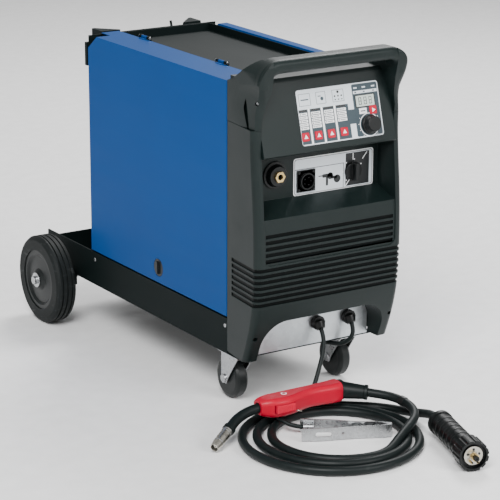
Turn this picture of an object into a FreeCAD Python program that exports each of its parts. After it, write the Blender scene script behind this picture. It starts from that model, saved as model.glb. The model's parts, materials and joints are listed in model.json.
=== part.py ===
import FreeCAD, Part
import math
import os

V = FreeCAD.Vector
os.makedirs("parts", exist_ok=True)

# A MIG/MAG welding machine on its cart, in millimetres.
# Working axes: X across (right is +), Y from the front panel to the back, Z up from the floor.
# At the end every solid is moved so that the origin is the centre of the footprint.

# Sheet-metal body
bodyHalf = 146.0
bodyBack = 502.0
bodyFront = 2.0
bodyBottom = 167.0
bodyTop = 595.0
sheet = 1.5
doorFlange = 68.5
rightFlange = 20.0
rightLip = 14.0
trayFloor = 576.0
rearPanelY = 504.5
mainsZ = 175.0
partitionX = -10.0

# Hinge of the side door
hingeX = -76.0
hingeZ = 598.4
hingeYs = (130.0, 405.0)

# Chassis
panBottom = 97.0
panPlate = 3.0
panFloor = panBottom + panPlate
bottlePad = 2.0
panWallTop = 164.0
panFront = -38.0
panBack = 688.0

# Running gear
rearWheelR = 88.0
rearWheelWidth = 43.0
rearWheelInner = 170.0
rearAxleY = 606.0
rearHubR = 60.0
axleR = 8.0
casterX = 113.0
casterSwivelY = 10.0
casterTrail = 24.0
casterWheelR = 38.0
casterWheelWidth = 25.0

# Front mouldings
coverWall = 3.0
coverBackHalf = 146.0
coverFrontHalf = 155.0
ridgeInner = 139.0
coverBottom = 103.0
coverSplit = 525.0
bayY = -52.0
bayBottom = 386.0
bayTop = 475.0
archHalf = 131.0
archTop = 177.0
archCorner = 48.0
fieldBottom = 286.0
fieldDepth = 2.5
louvreDepth = 2.2
faceLow = (-107.0, 478.0)
faceHigh = (-74.0, 596.0)
housingTop = 604.0
handleTop = 647.0
handleHeight = 24.0
handleDepth = 40.0
handleHalf = 153.0

# Controls
smallButton = 15.0
knobR = 17.0
socketX = -82.0
socketZ = 430.0
euroBoreR = 5.0

# Wire feeder
spoolY = 330.0
spoolZ = 362.0
spoolR = 150.0
spoolWidth = 100.0
windingR = 128.0
hubR = 25.0
rollR = 15.0
rollY = 80.0

# Torch set on the floor
hoseD = 16.0
cableD = 8.0
coilHeight = 17.0
handleY = -139.0
handleZ = 44.0
plugLength = 160.0
plugR = 20.0
plugNutR = 27.0
clampLength = 158.0
clampHeight = 24.0

shapes = {}


def box(x0, x1, y0, y1, z0, z1):
    return Part.makeBox(x1 - x0, y1 - y0, z1 - z0, V(x0, y0, z0))


def cyl(base, direction, radius, length):
    return Part.makeCylinder(radius, length, V(*base), V(*direction))


def cone(base, direction, r0, r1, length):
    return Part.makeCone(r0, r1, length, V(*base), V(*direction))


def ring(base, direction, outer, inner, length):
    return cyl(base, direction, outer, length).cut(cyl(base, direction, inner, length))


def prismX(points, x0, x1):
    """A (y, z) outline drawn out along X."""
    wire = Part.makePolygon([V(x0, y, z) for y, z in points + points[:1]])
    return Part.Face(wire).extrude(V(x1 - x0, 0, 0))


def prismY(points, y0, y1):
    """An (x, z) outline drawn out along Y."""
    wire = Part.makePolygon([V(x, y0, z) for x, z in points + points[:1]])
    return Part.Face(wire).extrude(V(0, y1 - y0, 0))


def prismZ(points, z0, z1):
    """An (x, y) outline drawn out along Z."""
    wire = Part.makePolygon([V(x, y, z0) for x, y in points + points[:1]])
    return Part.Face(wire).extrude(V(0, 0, z1 - z0))


def fuse(first, *others):
    return first.multiFuse(list(others)).removeSplitter()


def mirrorX(shape):
    return shape.mirror(V(0, 0, 0), V(1, 0, 0))


def roundedRect(cx, cy, cz, hu, hv, r, u, v):
    """Closed wire: a rectangle with round corners, half sizes hu and hv along the unit vectors u and v."""
    c, u, v = V(cx, cy, cz), V(*u), V(*v)
    edges = []
    corners = [(1, -1, 0), (1, 1, 90), (-1, 1, 180), (-1, -1, 270)]
    ends = []
    for su, sv, turn in corners:
        k = c + u * (su * (hu - r)) + v * (sv * (hv - r))
        arc = []
        for step in (-90, -45, 0):
            a = math.radians(turn + step)
            arc.append(k + u * (r * math.cos(a)) + v * (r * math.sin(a)))
        ends.append(arc)
    for i, arc in enumerate(ends):
        edges.append(Part.Arc(*arc).toShape())
        nxt = ends[(i + 1) % 4]
        edges.append(Part.LineSegment(arc[2], nxt[0]).toShape())
    return Part.Wire(edges)


def save(name, shape):
    if not shape.isValid():
        shape.fix(0.01, 0.01, 0.01)
    shapes[name] = shape


# ---------------------------------------------------------------- chassis


def floorPan():
    h = bodyHalf
    t = panPlate
    pan = box(-h, h, panFront, panBack, panBottom, panFloor)
    for side in (-1, 1):
        inner = side * (h - t)
        wall = box(min(side * h, inner), max(side * h, inner), 0, panBack, panFloor, panWallTop)
        lug = box(min(side * h, side * (h - 6)), max(side * h, side * (h - 6)),
                  rearAxleY - 30, rearAxleY + 30, 74, panBottom)
        pan = pan.fuse([wall, lug])
    pan = pan.fuse([box(-h + t, h - t, panBack - t, panBack, panFloor, 150),
                    box(-122, 122, 546, 678, panFloor, panFloor + bottlePad)])
    pan = pan.cut(cyl((-h - 1, rearAxleY, rearWheelR), (1, 0, 0), axleR, 2 * h + 2))
    for x in (-40, 0, 40):
        slots = [box(x - 12, x + 12, y, y + 8, panBottom - 1, panFloor + 3) for y in (560, 620, 650)]
        pan = pan.cut(slots)
    save("floor_pan", pan.removeSplitter())


def frontLowerPanel():
    plate = box(-130.5, 130.5, -42, -40, panFloor + 1, 222)
    holes = [cyl((x, -43, 141), (0, 1, 0), 9, 4) for x in (18, 85)]
    feet = box(-120, 120, -40, -37.9, panFloor + 1, panFloor + 12)
    save("front_lower_panel", plate.cut(holes).fuse(feet.cut([cyl((x, -43, 141), (0, 1, 0), 9, 8)
                                                              for x in (18, 85)])).removeSplitter())


def rightSidePanel():
    h = bodyHalf
    side = box(h - sheet, h, bodyFront, bodyBack, bodyBottom, bodyTop)
    top = box(h - rightFlange, h, bodyFront, bodyBack, bodyTop - sheet, bodyTop)
    lip = box(h - rightFlange, h - rightFlange + sheet, bodyFront, bodyBack, bodyTop - rightLip, bodyTop)
    foot = box(h - 12, h, bodyFront, bodyBack, bodyBottom, bodyBottom + sheet)
    panel = side.fuse([top, lip, foot])
    vents = []
    for column in range(2):
        for row in range(8):
            y = 300 + column * 90
            z = 230 + row * 20
            vents.append(box(h - 3, h + 1, y, y + 62, z, z + 6))
    corner = prismX([(461, 600), (510, 600), (510, 569), (bodyBack, 569)], h - 40, h + 1)
    save("right_side_panel", panel.cut(vents).cut(corner).removeSplitter())


def sideDoor():
    h = bodyHalf
    inner = -h + doorFlange
    side = box(-h, -h + sheet, bodyFront, bodyBack, bodyBottom, bodyTop)
    top = box(-h, inner, bodyFront, bodyBack, bodyTop - sheet, bodyTop)
    returns = []
    for y in (bodyFront, bodyBack - sheet):
        returns.append(box(-h, -h + 12, y, y + sheet, bodyBottom, bodyTop - 30))
    returns.append(box(-h, -h + 12, bodyFront, bodyBack, bodyBottom, bodyBottom + sheet))
    door = side.fuse([top] + returns)
    corner = prismX([(461, 600), (510, 600), (510, 569), (bodyBack, 569)], -h - 1, -h + 30)
    latchHole = cyl((-h - 1, 242, 196), (1, 0, 0), 17, 4)
    door = door.cut([corner, latchHole])
    for y in hingeYs:
        leaf = box(hingeX - 8, hingeX + 1, y - 9, y + 9, bodyTop, bodyTop + 1.6)
        knuckle = cyl((hingeX, y - 9, hingeZ), (0, 1, 0), 3, 18)
        door = door.fuse([leaf, knuckle]).cut(cyl((hingeX, y - 20, hingeZ), (0, 1, 0), 1.58, 40))
    save("side_door", door.removeSplitter())


def topTray():
    x0, x1 = -73.5, bodyHalf - rightFlange - 1.0
    outer = box(x0, x1, 3, 500, trayFloor, 592)
    inner = box(x0 + 2, x1 - 2, 5, 498, trayFloor + 2, 600)
    tray = outer.cut(inner)
    for y in hingeYs:
        for y0 in (y - 18, y + 9.4):
            post = box(x0, x0 + 2, y0, y0 + 8.6, 590, hingeZ + 2)
            arm = box(hingeX, x0 + 2, y0, y0 + 8.6, hingeZ - 1, hingeZ + 2.6)
            knuckle = cyl((hingeX, y0, hingeZ), (0, 1, 0), 3, 8.6)
            tray = tray.fuse([post, arm, knuckle]).cut(cyl((hingeX, y0, hingeZ), (0, 1, 0), 1.55, 8.6))
    save("top_tray", tray.removeSplitter())


def hingePins():
    pins = []
    for y in hingeYs:
        pin = cyl((hingeX, y - 18.4, hingeZ), (0, 1, 0), 1.5, 36.8)
        heads = [cyl((hingeX, y - 20, hingeZ), (0, 1, 0), 2.5, 1.6), cyl((hingeX, y + 18.4, hingeZ), (0, 1, 0), 2.5, 1.6)]
        pins.append(fuse(pin, *heads))
    save("door_hinge_pins", Part.makeCompound(pins))


def rearPanel():
    h = bodyHalf - panPlate - 0.3
    plate = box(-h, h, rearPanelY, rearPanelY + 2, panFloor + 1, 592)
    rims = []
    for side in (-1, 1):
        a, b = sorted((side * 118, side * bodyHalf))
        rims.append(box(a, b, rearPanelY + 2, rearPanelY + 11, 533, 578))
    plate = plate.fuse(rims)
    holes = [cyl((58, rearPanelY - 1, 330), (0, 1, 0), 66, 4), cyl((-95, rearPanelY - 1, mainsZ), (0, 1, 0), 10, 4)]
    holes.append(cyl((-95, rearPanelY - 1, 240), (0, 1, 0), 7, 4))
    plate = plate.cut(holes)
    grille = [ring((58, rearPanelY, 330), (0, 1, 0), r, r - 3, 2) for r in (22, 40, 58)]
    for turn in range(3):
        bar = box(58 - 66, 58 + 66, rearPanelY, rearPanelY + 2, 328.5, 331.5)
        bar.rotate(V(58, 0, 330), V(0, 1, 0), 60 * turn)
        grille.append(bar)
    save("rear_panel", fuse(plate, *grille))


def bottleBracket():
    y0 = rearPanelY + 2
    z0, z1 = 548, 592
    plate = box(-112, 112, y0, y0 + 3, z0, z1)
    arms = []
    for side in (-1, 1):
        outline = [(side * 70, y0 + 3), (side * 112, y0 + 3), (side * 112, y0 + 42), (side * 106, y0 + 42)]
        arms.append(prismZ(outline, z0 + 6, z1 + 4))
    hook = cyl((46, y0 + 4, z1 - 6), (0, 0.35, 1), 2.5, 16)
    save("bottle_bracket", fuse(plate, hook, *arms))


def partition():
    plate = box(partitionX - 1.5, partitionX, 5, 500, panFloor, 560)
    foot = box(partitionX, partitionX + 12, 5, 500, panFloor, panFloor + 1.5)
    hole = cyl((partitionX - 3, rollY + 10, 432), (1, 0, 0), 24, 6)
    save("centre_partition", plate.fuse(foot).cut(hole).removeSplitter())


# ---------------------------------------------------------------- front mouldings


def planSection(z, front, inset=0.0, r=13.0):
    """Plan outline of the front mouldings at height z, with its round front corners."""
    back = coverBackHalf - inset
    wide = coverFrontHalf - inset
    y = front + inset
    r = max(r - inset, 2.0)
    s = r * math.sqrt(0.5)
    left = [V(-wide, y + r, z), V(-wide + r - s, y + r - s, z), V(-wide + r, y, z)]
    right = [V(wide - r, y, z), V(wide - r + s, y + r - s, z), V(wide, y + r, z)]
    rear = 0.0 if inset == 0 else 5.0
    start, end = V(-back, rear, z), V(back, rear, z)
    edges = [Part.LineSegment(start, left[0]).toShape(), Part.Arc(*left).toShape(),
             Part.LineSegment(left[2], right[0]).toShape(), Part.Arc(*right).toShape(),
             Part.LineSegment(right[2], end).toShape(), Part.LineSegment(end, start).toShape()]
    return Part.Wire(edges)


# height and front edge of the side ridges
ridgeLine = [(coverBottom, -74), (150, -92), (200, -105), (280, -111), (370, -109), (450, -102), (coverSplit, -99)]


def ridgeLoft(inset=0.0):
    line = list(ridgeLine)
    if inset:
        line = [(coverBottom - 5, -72)] + line[1:-1] + [(coverSplit + 5, -99)]
    return Part.makeLoft([planSection(z, y, inset) for z, y in line], True, False)


louvreZs = [338 - 11 * i for i in range(5)]
wrapZs = [279 - 10.6 * i for i in range(7)]


def archShape(grow):
    """The opening over the front panel, larger all round by grow."""
    c = archCorner + grow
    half = archHalf + grow
    top = archTop + grow
    lower = box(-half, half, -140, 10, 80, top - c)
    middle = box(-half + c, half - c, -140, 10, 80, top)
    rounds = [cyl((side * (half - c), -140, top - c), (0, 1, 0), c, 150) for side in (-1, 1)]
    return fuse(lower, middle, *rounds)


def fieldShape(grow):
    """The sunk field between the side ridges, under the bay, larger all round by grow."""
    low, high = fieldBottom - grow, 382.0
    wire = roundedRect(0, -140, (low + high) / 2, ridgeInner + grow, (high - low) / 2, 14, (1, 0, 0), (0, 0, 1))
    return Part.Face(wire).extrude(V(0, 60, 0))


def lowerFrontCover():
    body = ridgeLoft()
    innerBody = ridgeLoft(coverWall)
    sunk = ridgeLoft(fieldDepth)
    hi = coverSplit + 20
    bay = prismX([(-140, 362), (-112, 366), (bayY, bayBottom), (bayY, hi), (-140, hi)], -ridgeInner, ridgeInner)
    w = coverWall
    bayBack = prismX([(-140, 359), (-112, 362.5), (bayY + w, bayBottom - w), (bayY + w, hi), (-140, hi)],
                     -ridgeInner - w, ridgeInner + w)
    fieldBack = fieldShape(w).cut(ridgeLoft(fieldDepth + w))
    shell = body.cut(bay).cut(body.cut(sunk).common(fieldShape(0))).cut(innerBody.cut(bayBack).cut(fieldBack))
    lining = archShape(w).cut(archShape(0)).common(ridgeLoft(1.0)).common(box(-200, 200, -140, -42.4, coverBottom, 240))
    bosses = [cyl((side * 144.5, -100, 150), (0, 1, 0), 6.5, 40).common(ridgeLoft(1.0)) for side in (-1, 1)]
    shell = shell.cut(archShape(0)).fuse([lining] + bosses)
    upper = [box(-ridgeInner + 4, ridgeInner - 4, -140, -80, z - 3.1, z + 3.1) for z in louvreZs]
    wraps = [box(-160, 160, -140, -18, z - 3.1, z + 3.1) for z in wrapZs]
    shell = shell.cut(sunk.cut(ridgeLoft(fieldDepth + louvreDepth)).common(Part.makeCompound(upper)))
    shell = shell.cut(body.cut(ridgeLoft(louvreDepth)).common(Part.makeCompound(wraps)))
    holes = [cyl((side * 144.5, -130, 150), (0, 1, 0), 3.6, 58) for side in (-1, 1)]
    socket = cyl((socketX, bayY - 1, socketZ), (0, 1, 0), 12.05, 8)
    save("lower_front_cover", shell.cut(holes + [socket]))


def upperFrontCover():
    z0 = coverSplit + 0.4
    # the tube of the handle: two short legs, two round corners and the bar
    u = V(0, -0.16, 0.987)
    hw = handleHeight / 2
    rad = 28.0
    barZ = handleTop - hw
    barY = -102.0
    legX = handleHalf - hw
    top = V(0, barY, barZ)
    section = roundedRect(0, barY, barZ, handleDepth / 2, hw, 10, (0, 1, 0), (0, 0, 1))
    bar = Part.Face(section).extrude(V(2 * (legX - rad), 0, 0))
    bar.translate(V(-(legX - rad), 0, 0))
    pieces = [bar]
    for side in (-1, 1):
        x = side * (legX - rad)
        face = Part.Face(section)
        face.translate(V(x, 0, 0))
        pieces.append(face.revolve(V(x, top.y, top.z) - u * rad, V(0, -0.987, -0.16) * (-side), 90))
        legStart = V(side * legX, top.y, top.z) - u * rad
        legWire = roundedRect(legStart.x, legStart.y, legStart.z, handleDepth / 2, hw, 10,
                              (0, 0.987, 0.16), (1, 0, 0))
        pieces.append(Part.Face(legWire).extrude(u * -6))
    # side posts: from the sheet-metal body forward and up into the handle
    sections = [(z0, -99, 13), (548, -100.5, 18), (570, -105, 20), (590, -112.5, 15), (606, -117.4, 10.5),
                (630, -121.3, 10), (650, -124.3, 10)]
    block = Part.makeLoft([planSection(z, y, 0.0, r) for z, y, r in sections], True, False)
    core = Part.makeLoft([planSection(z, y, coverWall, r) for z, y, r in [(z0 - 4, -99, 13)] + sections[1:]], True, False)
    sideOutline = [(1, z0 - 1), (1, 596), (-20, 603), (-48, 619), (-74, 638), (-84, 645), (-92, 646.8), (-112, 646.8),
                   (-119, 643), (-121.6, 636), (-130, 610), (-130, z0 - 1)]
    hollowOutline = [(6, z0 - 5), (6, 588), (-24, 596), (-60, 600), (-78, z0 - 5)]
    limit = Part.Face(roundedRect(0, -140, 560, handleHalf + 0.5, 87.2, 41, (1, 0, 0), (0, 0, 1))).extrude(V(0, 150, 0))
    flank = prismY([(ridgeInner, z0 - 1), (ridgeInner, 540), (legX - hw, 594), (legX - hw, 650), (154, 650), (154, 607),
                    (152.6, 600), (150, 586), (149.5, 560), (150.5, z0 - 1)], -140, 10)
    for side in (-1, 1):
        a, b = sorted((side * 120, side * 170))
        ai, bi = sorted((side * (ridgeInner + coverWall), side * 170))
        post = block.common(prismX(sideOutline, a, b)).common(limit).common(flank if side > 0 else mirrorX(flank))
        pieces.append(post.cut(core.common(prismX(hollowOutline, ai, bi))))
    # the control housing
    w = coverWall
    outline = [(1, bayTop), (faceLow[0] + 3, bayTop), faceLow, (-103, 493), faceHigh, (-66, housingTop), (1, housingTop)]
    housing = prismX(outline, -ridgeInner, ridgeInner)
    inside = [(2, bayTop + w), (faceLow[0] + w + 2, bayTop + w), (faceLow[0] + w + 2, 479), (faceHigh[0] + w + 1, 595),
              (-64, housingTop - w), (2, housingTop - w)]
    housing = housing.cut(prismX(inside, -ridgeInner + w, ridgeInner - w))
    housing = housing.cut(box(-200, 200, bayY - 0.4, 10, 400, coverSplit + 0.4))
    cover = fuse(housing, *pieces)
    # screw recesses, square to the round corner of the posts
    holes = [cyl((side * 137, -88.3, 572), (side * 0.75, -0.66, 0), 3.6, 30) for side in (-1, 1)]
    cover = cover.cut(holes)
    cover = cover.cut([controlHole(x, along, half) for x, along, half in controlHoles()])
    save("upper_front_cover", cover)


# ---------------------------------------------------------------- control panel

faceLength = math.hypot(faceHigh[0] - faceLow[0], faceHigh[1] - faceLow[1])
faceUp = ((faceHigh[0] - faceLow[0]) / faceLength, (faceHigh[1] - faceLow[1]) / faceLength)
faceOut = (-faceUp[1], faceUp[0])

smallButtons = [(-50, 26), (-23, 26), (4, 26), (31, 26)]
menuButton = (97, 57)
knobPlace = (86, 32)


def facePoint(x, along, out=0.0):
    """A point of the sloping control face: along is up the slope, out is off the face."""
    y = faceLow[0] + faceUp[0] * along + faceOut[0] * out
    z = faceLow[1] + faceUp[1] * along + faceOut[1] * out
    return V(x, y, z)


def faceBlock(x, along, halfX, halfAlong, out0, out1, r=2.0):
    c = facePoint(x, along, out0)
    wire = roundedRect(c.x, c.y, c.z, halfX, halfAlong, r, (1, 0, 0), (0, faceUp[0], faceUp[1]))
    return Part.Face(wire).extrude(V(0, faceOut[0], faceOut[1]) * (out1 - out0))


def controlHoles():
    half = smallButton / 2 + 0.4
    return [(x, a, half) for x, a in smallButtons] + [menuButton + (half,)] + [knobPlace + (0,)]


def controlHole(x, along, half):
    if half:
        return faceBlock(x, along, half, half, -14, 6, 2.4)
    c = facePoint(x, along, -14)
    return Part.makeCylinder(4.0, 20, c, V(0, faceOut[0], faceOut[1]))


def controls():
    half = smallButton / 2
    places = [("list_button_%d" % (i + 1), p) for i, p in enumerate(smallButtons)] + [("menu_button", menuButton)]
    for name, (x, along) in places:
        cap = faceBlock(x, along, half, half, -5, 2.5, 2.0)
        stem = faceBlock(x, along, 2.5, 2.5, -9, -5, 0.8)
        save(name, fuse(cap, stem))
    c = facePoint(knobPlace[0], knobPlace[1], 0.6)
    out = V(0, faceOut[0], faceOut[1])
    skirt = Part.makeCylinder(knobR, 5, c, out)
    grip = Part.makeCone(knobR - 2, knobR - 3.5, 13, c + out * 5, out)
    shaft = Part.makeCylinder(3.9, 12, c - out * 12, out)
    save("encoder_knob", fuse(skirt, grip, shaft))
    board = faceBlock(18, 62, 100, 44, -18, -16.4, 3)
    parts = [faceBlock(83, 74, 20, 11, -16.4, -11.5, 1)]
    for name, (x, along) in places:
        parts.append(faceBlock(x, along, 5, 5, -16.4, -10.7, 1))
    save("control_board", fuse(board, *parts))


def bayFittings():
    # modelled on the bay's upright face, which looks towards -Y
    face = bayY - 0.2
    flange = cyl((socketX, face - 4, socketZ), (0, 1, 0), 24, 4)
    boss = cone((socketX, face - 15, socketZ), (0, 1, 0), 17.5, 20, 11)
    tail = cyl((socketX, face, socketZ), (0, 1, 0), 12, 10)
    hole = cyl((socketX, face - 20, socketZ), (0, 1, 0), 8.5, 40)
    save("euro_socket", fuse(flange, boss, tail).cut(hole))
    flats = [V(10.5 * math.cos(math.radians(60 * i)), 0, 10.5 * math.sin(math.radians(60 * i))) for i in range(6)]
    hexWire = Part.makePolygon([V(socketX, face - 20, socketZ) + p for p in flats + flats[:1]])
    hexHead = Part.Face(hexWire).extrude(V(0, 4.9, 0))
    sleeve = cyl((socketX, face - 16, socketZ), (0, 1, 0), 8.4, 34)
    bore = cyl((socketX, face - 21, socketZ), (0, 1, 0), euroBoreR, 30)
    thin = cyl((socketX, face + 8, socketZ), (0, 1, 0), 2, 20)
    save("euro_socket_insert", fuse(hexHead, sleeve).cut(fuse(bore, thin)))
    plate = box(-36, 2, face - 4, face, 392, 431)
    rim = cyl((-16, face - 8, 411), (0, 1, 0), 15, 4)
    pit = cyl((-16, face - 9, 411), (0, 1, 0), 12.5, 6)
    screws = [cyl((x, face - 5, z), (0, 1, 0), 2.4, 1) for x in (-32.5, -1.5) for z in (395.5, 427.5)]
    pins = [cyl((-16 + 7 * math.cos(a), face - 7, 411 + 7 * math.sin(a)), (0, 1, 0), 1, 4)
            for a in [math.radians(72 * i) for i in range(5)]]
    save("spool_gun_socket", fuse(plate, rim).cut(pit).fuse(screws + pins).removeSplitter())
    disc = cyl((84, face - 6, 416), (0, 1, 0), 17, 5.6)
    bar = box(84 - 4, 84 + 4, face - 18, face - 6, 416 - 16, 416 + 16)
    save("selector_knob", fuse(disc, bar))


def glands():
    for name, x in (("work_cable_gland", 18), ("lead_gland", 85)):
        nut = cyl((x, -52, 141), (0, 1, 0), 13, 9.8)
        thread = cyl((x, -42.2, 141), (0, 1, 0), 8.8, 9)
        snout = cone((x, -50, 141), (0, -0.62, -0.785), 12, 8, 12)
        save(name, fuse(nut, thread, snout))
    y = rearPanelY + 2
    nut = cyl((-95, y, mainsZ), (0, 1, 0), 15, 10)
    dome = cone((-95, y + 10, mainsZ), (0, 1, 0), 13, 8, 14)
    thread = cyl((-95, y - 10, mainsZ), (0, 1, 0), 9.8, 10)
    save("mains_gland", fuse(nut, dome, thread).cut(cyl((-95, y + 8, mainsZ), (0, 1, 0), 5, 20)))
    nut = cyl((-95, y, 240), (0, 1, 0), 10, 8)
    barbs = [cone((-95, y + 8 + 7 * i, 240), (0, 1, 0), 5.5, 4, 7) for i in range(3)]
    thread = cyl((-95, y - 12, 240), (0, 1, 0), 6.8, 12)
    save("gas_inlet", fuse(nut, thread, *barbs).cut(cyl((-95, y - 13, 240), (0, 1, 0), 2.5, 60)))


# ---------------------------------------------------------------- running gear


def revolveX(outline, x, y, z):
    """An (x, r) outline turned about the X axis through (x, y, z)."""
    wire = Part.makePolygon([V(x + a, y, z + r) for a, r in outline + outline[:1]])
    return Part.Face(wire).revolve(V(x, y, z), V(1, 0, 0), 360)


def rearWheels():
    w = rearWheelWidth
    R = rearWheelR
    tread = [(0, rearHubR), (0, R - 9), (2.5, R - 3), (7, R)]
    for x in (11.5, 21.5, 31.5):
        tread += [(x - 1.5, R), (x - 1.5, R - 3), (x + 1.5, R - 3), (x + 1.5, R)]
    tread += [(w - 7, R), (w - 2.5, R - 3), (w, R - 9), (w, rearHubR)]
    dish = [(2, rearHubR), (2, rearHubR - 8), (9, rearHubR - 13), (9, 24), (1, 17), (1, axleR + 0.06),
            (w + 2, axleR + 0.06), (w + 2, 15), (w - 4, 22), (w - 6, rearHubR - 13), (w - 2, rearHubR - 8),
            (w - 2, rearHubR)]
    tyre = revolveX(tread, rearWheelInner, rearAxleY, R)
    hub = revolveX(dish, rearWheelInner, rearAxleY, R)
    save("rear_tyre_right", tyre)
    save("rear_hub_right", hub)
    save("rear_tyre_left", mirrorX(tyre))
    save("rear_hub_left", mirrorX(hub))


def rearAxle():
    end = rearWheelInner + rearWheelWidth + 11
    rod = cyl((-end, rearAxleY, rearWheelR), (1, 0, 0), axleR, 2 * end)
    rings = []
    for side in (-1, 1):
        a = min(side * (bodyHalf + 0.3), side * (rearWheelInner - 0.5))
        rings.append(cyl((a, rearAxleY, rearWheelR), (1, 0, 0), 12, rearWheelInner - bodyHalf - 0.8))
        a = min(side * (rearWheelInner + rearWheelWidth + 2.6), side * (rearWheelInner + rearWheelWidth + 5))
        rings.append(cyl((a, rearAxleY, rearWheelR), (1, 0, 0), 15, 2.4))
    save("rear_axle", fuse(rod, *rings))


def casters():
    plates = []
    for side, word in ((-1, "left"), (1, "right")):
        x = side * casterX
        y = casterSwivelY
        wheelY = y + casterTrail
        plate = box(x - 30, x + 30, y - 26, y + 26, panBottom - 3, panBottom)
        race = cyl((x, y, panBottom - 8), (0, 0, 1), 20, 5)
        plates.append(plate.fuse(race).cut(cyl((x, y, 80), (0, 0, 1), 6.05, 30)))
        top = box(x - 18, x + 18, y - 20, y + 34, 84, 88)
        king = cyl((x, y, 84), (0, 0, 1), 6, panBottom - 84.3)
        legs = []
        for s in (-1, 1):
            a, b = sorted((x + s * 15.5, x + s * 18))
            outline = [(y - 20, 86), (y + 34, 86), (wheelY + 10, 40), (wheelY + 6, 29), (wheelY - 6, 29), (wheelY - 13, 42)]
            legs.append(prismX(outline, a, b))
        bolt = cyl((x - 21, wheelY, casterWheelR), (1, 0, 0), 4, 42)
        nuts = [cyl((x + s, wheelY, casterWheelR), (1, 0, 0), 8, 3) for s in (-21, 18)]
        save("caster_fork_" + word, fuse(top, king, bolt, *(legs + nuts)))
        w = casterWheelWidth / 2
        R = casterWheelR
        outline = [(-w, 4.06), (-w, R - 8), (-w + 2, R - 3), (-w + 6, R), (w - 6, R), (w - 2, R - 3), (w, R - 8), (w, 4.06)]
        save("caster_wheel_" + word, revolveX(outline, x, wheelY, casterWheelR))
    save("caster_plates", Part.makeCompound(plates))


# ---------------------------------------------------------------- inside


def transformer():
    core = box(10, 130, 150, 300, panFloor + 0.5, panFloor + 135)
    core = core.cut([box(34, 58, 149, 301, 130, 206), box(82, 106, 149, 301, 130, 206)])
    left = box(30, 108, 136, 314, 133, 203).cut(box(57.5, 82.5, 148, 302, 129, 207))
    winding = left.common(fuse(box(34.5, 57.5, 130, 320, 133, 203), box(82.5, 105.5, 130, 320, 133, 203),
                               box(30, 108, 130, 149.5, 133, 203), box(30, 108, 300.5, 320, 133, 203)))
    save("transformer", Part.makeCompound([core, winding]))


def fan():
    c = (58, 0, 330)
    y1 = rearPanelY - 0.3
    frame = box(58 - 78, 58 + 78, y1 - 38, y1, 330 - 78, 330 + 78)
    frame = frame.common(box(partitionX + 0.3, 140, 0, 600, 0, 600))
    frame = frame.cut(cyl((58, y1 - 40, 330), (0, 1, 0), 65, 50))
    motor = cyl((58, y1 - 34, 330), (0, 1, 0), 20, 16)
    arms = []
    for turn in range(3):
        arm = box(58 - 67, 58 + 67, y1 - 36, y1 - 32, 327, 333)
        arm.rotate(V(58, 0, 330), V(0, 1, 0), 30 + 60 * turn)
        arms.append(arm)
    pin = cyl((58, y1 - 18, 330), (0, 1, 0), 3, 14)
    save("fan_shroud", fuse(frame, motor, pin, *arms).common(box(partitionX + 0.3, 140, 0, 600, 0, 600)))
    hub = cyl((58, y1 - 17.4, 330), (0, 1, 0), 21, 14).cut(cyl((58, y1 - 20, 330), (0, 1, 0), 3.05, 20))
    blades = []
    for i in range(7):
        blade = box(58 + 19, 58 + 61, y1 - 11.5, y1 - 10, 318, 342)
        blade.rotate(V(58, y1 - 10.7, 330), V(1, 0, 0), 28)
        blade.rotate(V(58, 0, 330), V(0, 1, 0), 360 / 7 * i)
        blades.append(blade)
    save("fan_rotor", fuse(hub, *blades))


def wireFeeder():
    x0 = partitionX - 1.5
    block = box(-62, x0, 40, 132, 396, 476)
    motor = cyl((partitionX, rollY + 10, 432), (1, 0, 0), 23, 74)
    rollZ = socketZ - 0.5 - rollR
    pins = [cyl((-92, rollY, rollZ), (1, 0, 0), 5, 31), cyl((-90, 122, 462), (1, 0, 0), 4, 29)]
    guide = cyl((socketX, -34, socketZ), (0, 1, 0), 6, 90).cut(cyl((socketX, -35, socketZ), (0, 1, 0), 1.6, 200))
    saddle = box(socketX - 8, -61, 41, 55, socketZ - 8, socketZ + 8).cut(
        cyl((socketX, 20, socketZ), (0, 1, 0), 1.6, 60))
    link = cyl((x0 - 1, rollY + 10, 432), (1, 0, 0), 12, 12)
    save("feed_unit", fuse(block, motor, link, guide, saddle, *pins))
    roll = cyl((-88, rollY, rollZ), (1, 0, 0), rollR, 12).cut(cyl((-89, rollY, rollZ), (1, 0, 0), 5.05, 20))
    save("drive_roll", roll)
    upZ = socketZ + 0.5 + rollR
    upper = cyl((-88, rollY, upZ), (1, 0, 0), rollR, 12).cut(cyl((-89, rollY, upZ), (1, 0, 0), 4.05, 20))
    save("pressure_roll", upper)
    arm = prismX([(128, 455), (128, 470), (60, 474), (40, 470), (40, 462), (66, 440), (96, 440)], -74.5, -66)
    arm = arm.cut(cyl((-100, 122, 462), (1, 0, 0), 4.06, 60))
    pin = cyl((-90, rollY, upZ), (1, 0, 0), 4, 16)
    knob = cyl((-71.5, 48, 470), (0, 0, 1), 8.5, 28)
    save("pressure_arm", fuse(arm, pin, knob))


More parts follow.
